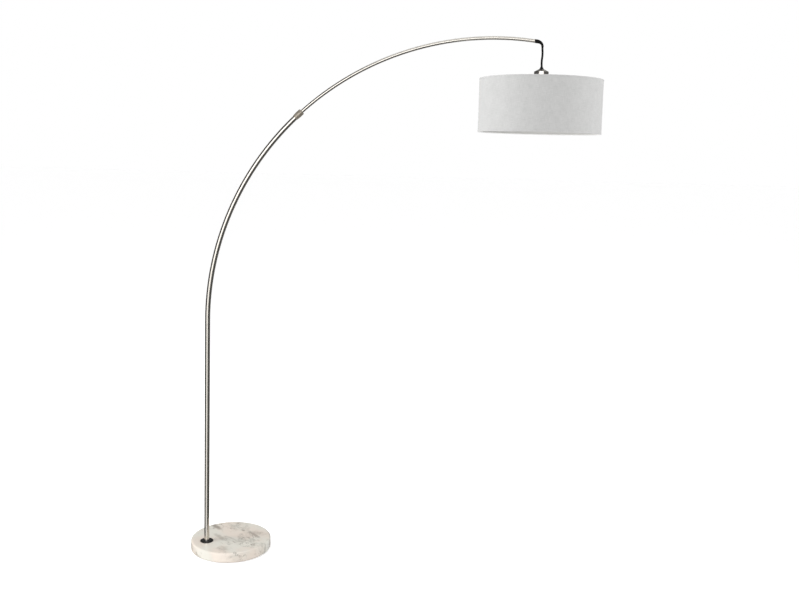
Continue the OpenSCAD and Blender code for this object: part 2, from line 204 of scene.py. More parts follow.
def make_piece(name, points, faces, material, body, replaced=(), sharp=35):
    """A mesh piece in the lamp's own frame that rides on a body."""
    mesh = bpy.data.meshes.new(name)
    mesh.from_pydata([tuple(p) for p in points], [], faces)
    mesh.shade_smooth()
    mesh.set_sharp_from_angle(angle=math.radians(sharp))
    mesh.materials.append(material)
    piece = bpy.data.objects.new(name, mesh)
    bpy.context.scene.collection.objects.link(piece)
    if body:
        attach(piece, body)
    if replaced:
        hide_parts(*replaced)
    return piece


FLOOR_SIDE = 60
floor_corners = [Vector((x, y, 0)) * FLOOR_SIDE for x, y in ((-1, -1), (1, -1), (1, 1), (-1, 1))]
floor_finish = Finish("floor_paper", Base_Color=(0.94, 0.94, 0.94), Roughness=0.9, Specular_IOR_Level=0.2,
                      Emission_Color=(1, 1, 1), Emission_Strength=0.26)
floor = make_piece("floor", floor_corners, [(0, 1, 2, 3)], floor_finish.material, None)
floor.visible_glossy = False


class Studio(Finish):
    """The room round the lamp, as nodes of the world."""

    def __init__(self):
        world = bpy.data.worlds.new("studio")
        bpy.context.scene.world = world
        world.use_nodes = True
        self.tree = world.node_tree
        self.shown = self.tree.nodes["Background"]
        self.put(self.shown, {"Color": (1, 1, 1), "Strength": 0.8})
        self.shown = self.shown.outputs[0]

    def show(self, ray, strength):
        """What one kind of ray sees of the room."""
        backdrop = self.tree.nodes.new("ShaderNodeBackground")
        self.put(backdrop, {"Color": (1, 1, 1), "Strength": strength})
        either = self.tree.nodes.new("ShaderNodeMixShader")
        path = self.tree.nodes.new("ShaderNodeLightPath")
        self.tree.links.new(path.outputs[ray], either.inputs[0])
        self.tree.links.new(self.shown, either.inputs[1])
        self.tree.links.new(backdrop.outputs[0], either.inputs[2])
        self.tree.links.new(either.outputs[0], self.tree.nodes["World Output"].inputs["Surface"])
        self.shown = either.outputs[0]


# Matt surfaces see an even white room. Polished ones see a white wall to the front and left
# in a dark room, which gives the metal one broad highlight between dark edges. A lit ceiling
# panel catches the stone's rounded edge, and a narrow wall stands behind, for the far side.
studio = Studio()
view_x, view_y, view_z = studio.split(studio.node("ShaderNodeTexCoord", {}, output="Generated"))
across_wall = view_x / (0 - view_y)
up_wall = view_z / (0 - view_y)
wall = across_wall.ramp(-1.05, -0.8) * view_y.ramp(-0.25, -0.05, 1, 0)
wall = wall * (across_wall - up_wall.ramp(-0.24, -0.14, 0.1, 0.34)).ramp(0.0, 0.1, 1, 0)
wall = wall * up_wall.ramp(0.35, 0.65, 1, 0)
behind = view_y.ramp(0.05, 0.25) * abs(across_wall + 0.75).ramp(0.3, 0.42, 1, 0)
overhead = view_z.ramp(0.84, 0.93)
in_metal = wall * up_wall.ramp(-0.22, 0.04, 1.15, 2.7) + overhead * 1.3 + behind * 0.4 + 0.10
studio.show("Is Glossy Ray", in_metal)
studio.show("Is Camera Ray", 1.0)


def softbox(name, place, target, width, height, power, spread=180):
    """A rectangular light that faces its target and isn't mirrored in polished pieces."""
    lamp = bpy.data.lights.new(name, "AREA")
    lamp.spread = math.radians(spread)
    lamp.shape = "RECTANGLE"
    lamp.size = width
    lamp.size_y = height
    lamp.energy = power
    box = bpy.data.objects.new(name, lamp)
    box.location = place
    box.rotation_mode = "QUATERNION"
    box.rotation_quaternion = (Vector(place) - Vector(target)).to_track_quat("Z", "Y")
    box.visible_glossy = False
    bpy.context.scene.collection.objects.link(box)


softbox("key_light", (-3.0, -0.8, 1.9), (0.9, 0, 1.5), 1.4, 1.6, 84)
softbox("fill_light", (3.9, -0.9, 1.9), (1.2, 0, 1.8), 1.2, 1.2, 3.6, spread=50)
softbox("top_light", (0.3, -0.3, 4.6), (0.3, 0, 0), 2.6, 2.6, 48)

# ---- Felt pad ----
# A disc of grey wool felt that keeps the stone off the floor.
# It is die cut and glued under the slab.
felt = Finish("grey_felt", Roughness=0.95, Sheen_Weight=0.3, Specular_IOR_Level=0.1)
fibres = felt.noise(felt.place(), 900, detail=4, roughness=0.7)
felt.bump(fibres, 0.0006)
felt.set(Base_Color=felt.blend(fibres.ramp(0.3, 0.7), (0.045, 0.045, 0.048), (0.11, 0.11, 0.115)))
paint(felt.material, "felt_pad")

# ---- Marble base ----
# A polished disc of white marble, cut and ground with a rounded upper edge.
# Grey veins and smoky patches run through the whole stone.
slab_low, slab_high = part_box("base_slab")
slab_middle = Vector(((slab_low.x + slab_high.x) / 2, (slab_low.y + slab_high.y) / 2, slab_high.z))
marble = Finish("white_marble", Coat_Weight=0.6, Coat_Roughness=0.06)
stone = marble.node("ShaderNodeVectorMath", {"operation": "SUBTRACT"}, marble.place(), tuple(slab_middle))
drift = marble.noise(stone, 9, detail=3)
warped = marble.node("ShaderNodeVectorMath", {"operation": "ADD"}, stone,
                     marble.join(drift * 0.06, drift * -0.05, drift * 0.04))
cloud = marble.noise(warped, 14, detail=5, roughness=0.6)
GRAIN_TURN = math.radians(-52)      # the way the bedding runs across the disc
flow_x, flow_y, flow_z = marble.split(warped)
along = flow_x * math.cos(GRAIN_TURN) + flow_y * math.sin(GRAIN_TURN)
across = flow_y * math.cos(GRAIN_TURN) - flow_x * math.sin(GRAIN_TURN)
bedding = marble.join(along * 0.45, across * 1.25, flow_z * 0.8 + 0.3)
ragged = marble.noise(stone, 60, detail=5, roughness=0.65)
fine_vein = abs(marble.noise(bedding, 17, detail=7, roughness=0.62, distortion=0.4) - 0.5)
wide_vein = abs(marble.noise(bedding, 8, detail=5, roughness=0.58, distortion=0.5) - 0.46)
grey = fine_vein.ramp(0.0, 0.024, 0.8, 0) * cloud.ramp(0.46, 0.60) * ragged.ramp(0.38, 0.55)
wide_grey = wide_vein.ramp(0.0, 0.06, 0.42, 0) * cloud.ramp(0.44, 0.62)
grey = grey.most(wide_grey * ragged.ramp(0.36, 0.6, 0.5, 1))
# smoky patches: place on the slab from its middle, half length along the grain and across, depth
PATCHES = (((-0.044, 0.075), 0.040, 0.013, 0.75), ((-0.010, -0.030), 0.042, 0.012, 0.45),
           ((0.068, 0.040), 0.012, 0.006, 0.6), ((0.112, 0.004), 0.055, 0.010, 0.6),
           ((-0.138, 0.020), 0.026, 0.012, 0.65))
for (patch_x, patch_y), length, width, depth in PATCHES:
    centre_along = patch_x * math.cos(GRAIN_TURN) + patch_y * math.sin(GRAIN_TURN)
    centre_across = patch_y * math.cos(GRAIN_TURN) - patch_x * math.sin(GRAIN_TURN)
    reach_along = (along - centre_along) / length
    reach_across = (across - centre_across) / width
    reach = (reach_along * reach_along + reach_across * reach_across).sqrt() + (ragged - 0.5) * 1.4
    grey = grey.most(reach.ramp(0.35, 1.25, depth, 0))
shade_of_stone = marble.noise(stone, 8, detail=3)
ground = marble.blend(shade_of_stone.ramp(0.4, 0.6), (0.72, 0.645, 0.57), (0.69, 0.67, 0.605))
marble.bump(marble.noise(stone, 220, detail=2), 0.00006)
paint(marble.set(Base_Color=marble.blend(grey, ground, (0.235, 0.21, 0.175)),
                 Roughness=0.15 + 0.12 * cloud), "base_slab")

# ---- Stem, nut and washer ----
# A hollow threaded steel stem clamps the slab between a nut and washer below and the flange above.
# All are zinc plated, with the faint mottling of the plating.
zinc = Finish("zinc_plated_steel", Metallic=1.0)
plating = zinc.noise(zinc.place(), 260, detail=4, roughness=0.6)
zinc.bump(plating, 0.00005)
zinc.set(Base_Color=zinc.blend(plating, (0.52, 0.53, 0.56), (0.68, 0.68, 0.67)),
         Roughness=0.26 + 0.2 * plating)
paint(zinc.material, "stem_washer", "stem_nut")


def grid_faces(rows, columns, closed_rows):
    """Quads over a grid whose columns wrap round; with closed_rows the rows wrap too."""
    last = rows if closed_rows else rows - 1
    return [(i * columns + j, i * columns + (j + 1) % columns,
             (i + 1) % rows * columns + (j + 1) % columns, (i + 1) % rows * columns + j)
            for i in range(last) for j in range(columns)]


def soften(outline, radius, steps=4):
    """An outline of (radius, height) points with each corner rounded, as far as its sides allow."""
    rounded = []
    for k, corner in enumerate(outline):
        corner = Vector(corner)
        sides = [Vector(outline[k - 1]) - corner, Vector(outline[(k + 1) % len(outline)]) - corner]
        turn = sides[0].normalized().dot(sides[1].normalized())
        cut = min(radius, sides[0].length * 0.45, sides[1].length * 0.45)
        if turn < -0.97 or cut < 1e-5:
            rounded.append(tuple(corner))
            continue
        first, second = (corner + side.normalized() * cut for side in sides)
        for step in range(steps + 1):
            t = step / steps
            rounded.append(tuple(first * (1 - t) ** 2 + corner * (2 * t * (1 - t)) + second * t ** 2))
    return rounded


def turned(name, outline, axis, material, body, replaced=(), sides=72, cut=None, sharp=35):
    """A lathe piece: a closed outline of (radius, height) turned about axis, a matrix.

    cut(angle, radius, height) gives the radius where a thread, knurl or slot changes it.
    """
    points = []
    for radius, height in outline:
        for j in range(sides):
            turn = 2 * math.pi * j / sides
            reach = cut(turn, radius, height) if cut else radius
            points.append(axis @ Vector((reach * math.cos(turn), reach * math.sin(turn), height)))
    faces = [face[::-1] for face in grid_faces(len(outline), sides, True)]
    return make_piece(name, points, faces, material, body, replaced, sharp)


def ladder(outline, start, finish, steps):
    """Extra points on the straight side between two neighbouring points, for a thread or a rib."""
    first, second = Vector(outline[start]), Vector(outline[finish])
    extra = [tuple(first.lerp(second, (k + 1) / (steps + 1))) for k in range(steps)]
    return outline[:start + 1] + extra + outline[start + 1:]


PITCH = 0.0014
THREAD_DEPTH = 0.0007
STEM_R = 0.006
STEM_BORE = 0.0045
STEM_ROWS = 240
stem_low, stem_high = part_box("threaded_stem")
stem_outline = [(STEM_BORE, stem_high.z), (STEM_BORE, stem_low.z),
                (STEM_R, stem_low.z), (STEM_R, stem_high.z)]
stem_outline = ladder(stem_outline, 2, 3, STEM_ROWS)


def stem_thread(turn, radius, height):
    if radius < STEM_R - 0.0001:
        return radius
    return radius - THREAD_DEPTH / 2 * (1 - math.cos(2 * math.pi * height / PITCH - turn))


turned("stem_thread", stem_outline, Matrix.Identity(4), zinc.material, "stand",
       ("threaded_stem",), sides=32, cut=stem_thread, sharp=60)

# ---- Base flange ----
# A low cast flange with a short hub, stoved in gloss black.
# It covers the hole in the stone, and the pole stands on its hub.
gloss_black = Finish("gloss_black_enamel", Coat_Weight=0.5, Coat_Roughness=0.04)
flow_out = gloss_black.noise(gloss_black.place(), 140, detail=2)
gloss_black.bump(flow_out, 0.0002, 0.4)
gloss_black.set(Base_Color=gloss_black.blend(flow_out, (0.006, 0.006, 0.006), (0.014, 0.013, 0.012)),
                Roughness=0.12 + 0.1 * flow_out)
flange_low, flange_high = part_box("base_flange")
flange_r = (flange_high.x - flange_low.x) / 2
FLANGE_RIM = 0.0024
RIM_RISE = 0.0002                   # the rim's upper face slopes up to the hub by this much
FLANGE_HUB = 0.012
HUB_FLARE = 0.0021
flange_h = flange_high.z - flange_low.z
flange_outline = soften([(STEM_R, 0), (flange_r, 0), (flange_r, FLANGE_RIM),
                         (FLANGE_HUB + HUB_FLARE, FLANGE_RIM + RIM_RISE), (FLANGE_HUB, flange_h),
                         (STEM_R, flange_h)], 0.0012)
turned("flange", flange_outline, Matrix.Translation((0, 0, flange_low.z)), gloss_black.material,
       "stand", ("base_flange",), sides=96)

# ---- Pole and lower arc tube ----
# Steel tube, nickel plated and brushed along its length to a satin finish. A zinc plated bush
# in the pole's foot screws onto the stem, and the arc turns on a spigot in its upper end.
joints = {joint["name"]: joint for joint in frame["joints"]}
arc_middle = joints["arm_extend"]["pos_m"]      # both arc tubes are bent round this point
ARC_R = arc_middle[0]
ARC_Z = arc_middle[2]
LOWER_SWEEP = math.radians(46.8)
TUBE_R = 0.0095
paint(zinc.material, "pole_foot_bush", "pole_spigot")


def satin_nickel(name, bent):
    """Brushed nickel with its grain along the pole, or along the arc if bent."""
    finish = Finish(name, Metallic=1.0)
    x, y, z = finish.split(finish.place())
    if bent:
        reach_x, reach_z = ARC_R - x, z - ARC_Z
        radius = (reach_x * reach_x + reach_z * reach_z).sqrt()
        grain = finish.join(y, radius - ARC_R, reach_z.angle(reach_x) * ARC_R * 0.012)
    else:
        grain = finish.join(x, y, z * 0.012)
    lines = finish.noise(grain, 2600, detail=3, roughness=0.7)
    breath = finish.noise(grain, 120, detail=3)
    finish.bump(lines, 0.00002, 0.35)
    tone = lines * 0.6 + breath * 0.4
    colour = finish.blend(tone.ramp(0.3, 0.7), (0.57, 0.54, 0.485), (0.69, 0.66, 0.61))
    return finish.set(Base_Color=colour, Roughness=0.17 + 0.1 * tone)


paint(satin_nickel("satin_nickel_pole", False), "pole_tube", "arc_socket")
bent_nickel = satin_nickel("satin_nickel_arc", True)
paint(bent_nickel, "arc_lower_tube")

# ---- Swivel washer ----
# A black nylon washer between the pole and the arc, which lets the arc turn.
# Its edge shows as a thin dark line at the joint.


def moulded(name, dark, light, roughness, grain=1400):
    """Moulded plastic or rubber with a fine spark-eroded grain."""
    finish = Finish(name, Specular_IOR_Level=0.07)
    speckle = finish.noise(finish.place(), grain, detail=3, roughness=0.6)
    smear = finish.noise(finish.place(), grain / 30, detail=2)
    finish.bump(speckle, 0.00008, 0.6)
    return finish.set(Base_Color=finish.blend(smear, dark, light), Roughness=roughness + 0.12 * speckle)


black_nylon = moulded("black_nylon", (0.006, 0.006, 0.007), (0.014, 0.014, 0.015), 0.4)
paint(black_nylon, "swivel_washer")

# ---- Lead outlet ----
# A rubber grommet sprung into a hole near the pole's foot, where the supply lead comes out.
# It is on the pole's far side.
black_rubber = moulded("black_rubber", (0.014, 0.014, 0.014), (0.03, 0.029, 0.028), 0.5, 900)
paint(black_rubber, "outlet_grommet")

# ---- Spigot screws and grub screw ----
# Zinc plated socket screws on the pole's far side. Two hold the spigot in the pole, and the
# third runs in the spigot's groove and stops the arc from lifting off.
SCREW_R = 0.002
SCREW_SIDES = 24


def socket_screws(name, replaced, body, radius, heights):
    """Headless screws pointing along +Y, each with a hexagon socket in its outer end."""
    low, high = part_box(replaced)
    corner = radius * 0.55          # from the socket's middle to its corners
    depth = radius * 1.1
    bevel = radius * 0.2
    half_flat = math.radians(30)
    turns = [math.radians(360 / SCREW_SIDES * k) for k in range(SCREW_SIDES)]
    points, faces = [], []
    for height in heights:
        first = len(points)
        rings = ((radius - bevel, low.y), (radius, low.y + bevel), (radius, high.y - bevel),
                 (radius - bevel, high.y))
        for reach, out in rings:
            points += [Vector((reach * math.sin(turn), out, height + reach * math.cos(turn)))
                       for turn in turns]
        for out in (high.y, high.y - depth):
            for turn in turns:
                from_flat = (turn + half_flat) % (2 * half_flat) - half_flat
                reach = corner * math.cos(half_flat) / math.cos(from_flat)
                points.append(Vector((reach * math.sin(turn), out, height + reach * math.cos(turn))))
        rows = len(rings) + 2
        walls = grid_faces(rows, SCREW_SIDES, False)
        faces += [tuple(first + index for index in face[::-1]) for face in walls]
        faces.append(tuple(first + k for k in range(SCREW_SIDES)))
        faces.append(tuple(first + (rows - 1) * SCREW_SIDES + k for k in reversed(range(SCREW_SIDES))))
    return make_piece(name, points, faces, zinc.material, body, (replaced,), sharp=30)


screws_low, screws_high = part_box("spigot_screws")
socket_screws("spigot_socket_screws", "spigot_screws", "stand", SCREW_R,
              (screws_low.z + SCREW_R, screws_high.z - SCREW_R))
grub_low, grub_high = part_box("swivel_grub_screw")
socket_screws("grub_socket_screw", "swivel_grub_screw", "arc", (grub_high.z - grub_low.z) / 2,
              ((grub_low.z + grub_high.z) / 2,))

# ---- Twist collar ----
# A turned brass collar, lacquered taupe, that squeezes a split nylon collet onto the upper tube.
# It has a tapered tail, two grip grooves and a flat front, and turns on a zinc plated sleeve.
ARM_R = 0.00635
COLLAR_MID = 0.013                  # from the lower tube's end back to the collar's middle
COLLAR_R = 0.012
COLLAR_BORE = 0.0108
COLLAR_MOUTH = ARM_R + 0.0006
# heights along the collar, from the lower tube's end
COLLAR_NOSE = 0.0024
COLLAR_FRONT = 0.0046
COLLAR_TAIL = -0.0294
COLLAR_STEP = -0.0206
TAIL_BORE = TUBE_R + 0.0004
TAIL_R = 0.0106
SWELL = 0.0204                      # the stretch in which the tail grows to the full radius
SWELL_STEPS = 8
GROOVES = (-0.0062, -0.0038)
GROOVE_DEPTH = 0.0005
GROOVE_MOUTH = 0.0006               # half widths, at the surface and at the floor
GROOVE_FLOOR = 0.0002
paint(zinc.material, "collar_sleeve")
paint(black_nylon, "split_collet")


def on_arc(angle, ahead_by=0.0):
    """The place at an angle of the arc, with +Z along the tube towards the tip."""
    place = Matrix.Translation((ARC_R * (1 - math.cos(angle)), 0, ARC_Z + ARC_R * math.sin(angle)))
    return place @ Matrix.Rotation(angle, 4, "Y") @ Matrix.Translation((0, 0, ahead_by))


taupe = Finish("taupe_lacquer", Metallic=0.55, Coat_Weight=0.3, Coat_Roughness=0.2)
flake = taupe.noise(taupe.place(), 2200, detail=2)
handled = taupe.noise(taupe.place(), 130, detail=3)
taupe.bump(flake, 0.00003, 0.5)
taupe.set(Base_Color=taupe.blend(flake * 0.5 + handled * 0.5, (0.23, 0.20, 0.16), (0.33, 0.295, 0.24)),
          Roughness=0.28 + 0.15 * handled)
collar_outline = [(COLLAR_MOUTH, COLLAR_FRONT), (COLLAR_MOUTH, COLLAR_NOSE),
                  (COLLAR_BORE, COLLAR_NOSE), (COLLAR_BORE, COLLAR_STEP),
                  (TAIL_BORE, COLLAR_STEP), (TAIL_BORE, COLLAR_TAIL)]
for step in range(SWELL_STEPS + 1):
    swell = math.sin(math.pi / 2 * step / SWELL_STEPS)
    tail_radius = TAIL_R + (COLLAR_R - TAIL_R) * swell
    collar_outline.append((tail_radius, COLLAR_TAIL + SWELL * step / SWELL_STEPS))
for groove in GROOVES:
    groove_r = COLLAR_R - GROOVE_DEPTH
    collar_outline += [(COLLAR_R, groove - GROOVE_MOUTH), (groove_r, groove - GROOVE_FLOOR),
                       (groove_r, groove + GROOVE_FLOOR), (COLLAR_R, groove + GROOVE_MOUTH)]
# the front edge falls away in two slopes
collar_outline += [(COLLAR_R, COLLAR_FRONT - 0.0045), (COLLAR_R - 0.0007, COLLAR_FRONT - 0.0018),
                   (COLLAR_R - 0.0024, COLLAR_FRONT)]
collar_place = on_arc(LOWER_SWEEP - COLLAR_MID / ARC_R, COLLAR_MID)
turned("twist_collar", soften(collar_outline, 0.0005), collar_place, taupe.material, "collar",
       ("lock_ring",), sides=96)

# ---- Upper arc tube, slide bush and tip plug ----
# A thinner tube of the same nickel, bent to the same arc, that slides out of the lower one.
# A white nylon bush on its inner end keeps it centred, and a black nylon plug closes its tip.
UPPER_SWEEP = math.radians(49.6)
ARM_TIP = LOWER_SWEEP + UPPER_SWEEP
paint(bent_nickel, "arc_upper_tube")
paint(moulded("white_nylon", (0.66, 0.65, 0.61), (0.74, 0.73, 0.7), 0.35), "slide_bush")
paint(black_nylon, "tip_plug")

# ---- Elbow ----
# A moulded black rubber elbow, pushed over the arm's end plug, that turns the cord downwards.
# It tapers to a small mouth, with shallow rings before it so that it can flex.
tip = Vector(joints["elbow_swing"]["pos_m"])
mouth = Vector(joints["pendant_swing"]["pos_m"])
ELBOW_START = 0.0018
ELBOW_LEAD = 0.007
ELBOW_R = 0.007
ELBOW_ROUND = 0.0009                # its edge at the arm is drawn in by this, its mouth by a third
MOUTH_R = 0.00455
MOUTH_DEPTH = 0.004
CORD_R = 0.00375
ELBOW_STEPS = 72
# shares of the elbow's length, from the arm's tip to the mouth
LEAD_SHARE = 0.25
TAPER_FROM = 0.3
RINGS_FROM = 0.62
RINGS_TO = 0.92
RING_SPACING = 0.06
RING_DEPTH = 0.00032


def ring_tube(name, frames, material, body, replaced=(), sides=28, sharp=40):
    """A closed tube through rings, each given as (middle, across, up, radius)."""
    points = []
    for middle, across_ring, up_ring, radius in frames:
        for k in range(sides):
            turn = 2 * math.pi * k / sides
            points.append(middle + radius * (across_ring * math.cos(turn) + up_ring * math.sin(turn)))
    faces = grid_faces(len(frames), sides, False)
    faces.append(tuple(reversed(range(sides))))
    faces.append(tuple((len(frames) - 1) * sides + k for k in range(sides)))
    return make_piece(name, points, faces, material, body, replaced, sharp)


def along_path(path, radii, normal):
    """Rings square to a path that lies in the plane with this normal."""
    frames = []
    for k, middle in enumerate(path):
        heading = (path[min(k + 1, len(path) - 1)] - path[max(k - 1, 0)]).normalized()
        frames.append((middle, normal, heading.cross(normal), radii[k]))
    return frames


def elbow_middle(t):
    """Straight on from the arm's tip, then an even bend down to the mouth."""
    dip = ARM_TIP - math.pi / 2
    outward = Vector((math.cos(dip), 0, -math.sin(dip)))
    start = tip + outward * ELBOW_START
    bend = start + outward * ELBOW_LEAD
    corner = Vector((mouth.x, 0, bend.z - (mouth.x - bend.x) * math.tan(dip)))
    if t < LEAD_SHARE:
        return start.lerp(bend, t / LEAD_SHARE)
    s = (t - LEAD_SHARE) / (1 - LEAD_SHARE)
    return bend * (1 - s) ** 2 + corner * (2 * s * (1 - s)) + mouth * s ** 2


def elbow_radius(t):
    taper = 0 if t < TAPER_FROM else math.sin(math.pi / 2 * (t - TAPER_FROM) / (1 - TAPER_FROM))
    radius = ELBOW_R + (MOUTH_R - ELBOW_R) * taper
    if RINGS_FROM < t < RINGS_TO:
        radius -= RING_DEPTH / 2 * (1 - math.cos(2 * math.pi * (t - RINGS_FROM) / RING_SPACING))
    return radius


elbow_steps = [k / ELBOW_STEPS for k in range(ELBOW_STEPS + 1)]
elbow_radii = [elbow_radius(t) for t in elbow_steps]
elbow_radii[0] -= ELBOW_ROUND
elbow_radii[1] -= ELBOW_ROUND / 3
elbow_radii[-1] -= ELBOW_ROUND / 3
elbow_rings = along_path([elbow_middle(t) for t in elbow_steps], elbow_radii, Vector((0, 1, 0)))
last_middle, last_across, last_up = elbow_rings[-1][:3]
for inward, play in ((0.0, 0.0003), (MOUTH_DEPTH, 0.0002)):
    elbow_rings.append((last_middle + Vector((0, 0, inward)), last_across, last_up, CORD_R + play))
elbow_black = moulded("elbow_rubber", (0.004, 0.004, 0.004), (0.009, 0.009, 0.009), 0.4, 1100)
ring_tube("elbow", elbow_rings, elbow_black, "elbow", ("elbow_boot",), sides=40)

# ---- Pendant cord ----
# A round black flex that hangs from the elbow to the cord grip, in sight but for its two ends.
# It is stiff for its length and keeps a slight S from its coil.
CORD_ROUTE = ((2, 0), (9, 0.3), (17, 0.9), (26, 1.2), (35, 0.9), (43, 0.1), (51, -0.6), (60, -0.7),
              (67, -0.3), (73, 0))          # millimetres below the mouth, and sideways
route = [mouth + Vector((0, 0, 0.002))]
route += [mouth + Vector((side, 0, -down)) / 1000 for down, side in CORD_ROUTE]


def smooth_path(stops, steps):
    """A curve through every stop, with steps points from one to the next."""
    curve = []
    for k in range(len(stops) - 1):
        before, first, second, after = (stops[min(max(k + i, 0), len(stops) - 1)] for i in (-1, 0, 1, 2))
        for step in range(steps):
            t = step / steps
            curve.append(0.5 * (2 * first + (second - before) * t
                                + (2 * before - 5 * first + 4 * second - after) * t ** 2
                                + (3 * first - before - 3 * second + after) * t ** 3))
    return curve + [stops[-1]]


cord_path = smooth_path(route, 4)
cord_rings = along_path(cord_path, [CORD_R] * len(cord_path), Vector((0, 1, 0)))
flex_black = moulded("black_flex", (0.004, 0.004, 0.004), (0.009, 0.009, 0.009), 0.48, 1600)
cord = ring_tube("pendant_flex", cord_rings, flex_black, None, ("pendant_cord",), sides=24)
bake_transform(cord)

# ---- Cord grip and nut ----
# A black nylon grip clamps the cord. Its threaded nipple passes through the cup into the
# lampholder, and a nut inside the cup holds it.
grip_low, grip_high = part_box("cord_grip")
cup_low, cup_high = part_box("socket_cup")
hang = Vector(((cup_low.x + cup_high.x) / 2, (cup_low.y + cup_high.y) / 2, 0))
on_pendant = Matrix.Translation(hang)
CUP_NECK = 0.009
NIPPLE_R = 0.005
GRIP_CORE = CORD_R - 0.0002         # the grip bites into the cord by a little
GRIP_TOP = CORD_R + 0.001
GRIP_WAIST = 0.007
GRIP_FOOT = CUP_NECK - 0.001
foot_top = cup_high.z + 0.002
grip_outline = [(GRIP_CORE, grip_high.z), (GRIP_TOP, grip_high.z), (GRIP_WAIST, foot_top),
                (GRIP_FOOT, foot_top), (GRIP_FOOT, cup_high.z),
                (NIPPLE_R, cup_high.z), (NIPPLE_R, grip_low.z), (GRIP_CORE, grip_low.z)]
turned("cord_grip_moulding", soften(grip_outline, 0.0006), on_pendant, black_nylon, "pendant",
       ("cord_grip",), sides=64)
paint(zinc.material, "grip_nut")

# ---- Socket cup ----
# A spun steel cup over the lampholder, nickel plated and brushed round its axis.
# A flat cone closes its top, and its lower rim is rounded over.
CUP_CONE = 0.009
CUP_SKIN = 0.001
cup_r = (cup_high.x - cup_low.x) / 2
cup_shoulder = cup_high.z - CUP_CONE
cup_finish = Finish("spun_nickel", Metallic=1.0)
cup_x, cup_y, cup_z = cup_finish.split(cup_finish.place())
cup_out_x, cup_out_y = cup_x - hang.x, cup_y - hang.y
cup_reach = (cup_out_x * cup_out_x + cup_out_y * cup_out_y).sqrt()
cup_rings = cup_finish.noise(cup_finish.join(cup_reach, cup_z, cup_out_y.angle(cup_out_x) * 0.0004), 2600,
                             detail=3, roughness=0.7)
cup_finish.bump(cup_rings, 0.00004, 0.7)
cup_finish.set(Base_Color=cup_finish.blend(cup_rings, (0.58, 0.55, 0.51), (0.74, 0.71, 0.67)),
               Roughness=0.17 + 0.14 * cup_rings)
cup_outline = [(NIPPLE_R, cup_high.z), (CUP_NECK, cup_high.z), (cup_r, cup_shoulder), (cup_r, cup_low.z),
               (cup_r - CUP_SKIN, cup_low.z), (cup_r - CUP_SKIN, cup_shoulder - CUP_SKIN * 0.6),
               (CUP_NECK, cup_high.z - CUP_SKIN), (NIPPLE_R, cup_high.z - CUP_SKIN)]
turned("spun_cup", soften(cup_outline, 0.0012), on_pendant, cup_finish.material, "pendant",
       ("socket_cup",), sides=96)

# ---- Lampholder ----
# A black phenolic E26 lampholder with a threaded skirt, a brass screw shell and a sprung
# brass contact. The fluted ring nut on its thread carries the shade.
phenolic = Finish("black_phenolic", Coat_Weight=0.4, Coat_Roughness=0.15)
swirl = phenolic.noise(phenolic.place(), 320, detail=4, roughness=0.6)
phenolic.bump(swirl, 0.00005, 0.5)
phenolic.set(Base_Color=phenolic.blend(swirl, (0.012, 0.011, 0.01), (0.03, 0.027, 0.024)),
             Roughness=0.2 + 0.15 * swirl)
holder_low, holder_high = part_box("lampholder_body")
HOLDER_R = 0.0195
HOLDER_BORE = 0.0146
HOLDER_CUP = 0.034
HOLDER_SKIRT = 0.046
SKIRT_PITCH = 0.003
SKIRT_ROWS = 150
nipple_seat = grip_low.z - 0.0003
holder_outline = soften([(0, holder_low.z + HOLDER_CUP), (HOLDER_BORE, holder_low.z + HOLDER_CUP),
                         (HOLDER_BORE, holder_low.z), (HOLDER_R, holder_low.z), (HOLDER_R, holder_high.z),
                         (NIPPLE_R, holder_high.z), (NIPPLE_R, nipple_seat), (0, nipple_seat)], 0.0012)
widest = [k for k, (radius, height) in enumerate(holder_outline) if radius > HOLDER_R - 1e-6]
holder_outline = ladder(holder_outline, widest[0], widest[0] + 1, SKIRT_ROWS)


def skirt_thread(turn, radius, height):
    if radius < HOLDER_R - 1e-6 or height > holder_low.z + HOLDER_SKIRT:
        return radius
    return radius - THREAD_DEPTH / 2 * (1 - math.cos(2 * math.pi * height / SKIRT_PITCH - turn))


def capped(outline):
    """Moves an outline's ends just off the axis, so that the lathe leaves no doubled points."""
    return [(max(radius, 0.00005), height) for radius, height in outline]


turned("lampholder", capped(holder_outline), on_pendant, phenolic.material, "pendant",
       ("lampholder_body",), sides=64, cut=skirt_thread, sharp=50)

brass = Finish("plain_brass", Metallic=1.0)
tarnish = brass.noise(brass.place(), 180, detail=4, roughness=0.6)
brass.bump(tarnish, 0.00004, 0.5)
brass.set(Base_Color=brass.blend(tarnish.ramp(0.35, 0.7), (0.72, 0.52, 0.24), (0.56, 0.38, 0.17)),
          Roughness=0.22 + 0.2 * tarnish)
LAMP_PITCH = 0.00363
LAMP_THREAD = 0.00022               # half the depth of the rolled thread
SHELL_R = 0.0141
SHELL_SKIN = 0.0003
SHELL_ROWS = 60
shell_low, shell_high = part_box("screw_shell")


def lamp_thread(turn, radius, height):
    return radius + LAMP_THREAD * math.sin(2 * math.pi * height / LAMP_PITCH - turn)


shell_outline = [(SHELL_R, shell_high.z), (SHELL_R, shell_low.z), (SHELL_R + SHELL_SKIN, shell_low.z),
                 (SHELL_R + SHELL_SKIN, shell_high.z)]
shell_outline = ladder(ladder(shell_outline, 2, 3, SHELL_ROWS), 0, 1, SHELL_ROWS)
turned("threaded_shell", shell_outline, on_pendant, brass.material, "pendant",
       ("screw_shell",), sides=48, cut=lamp_thread, sharp=60)

contact_low, contact_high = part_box("centre_contact")
contact_r = (contact_high.x - contact_low.x) / 2
contact_outline = soften([(0, contact_high.z), (contact_r, contact_high.z),
                          (contact_r, contact_high.z - 0.0008),
                          (contact_r * 0.5, contact_low.z), (0, contact_low.z)], 0.0005)
turned("sprung_contact", capped(contact_outline), on_pendant, brass.material, "pendant",
       ("centre_contact",), sides=40)

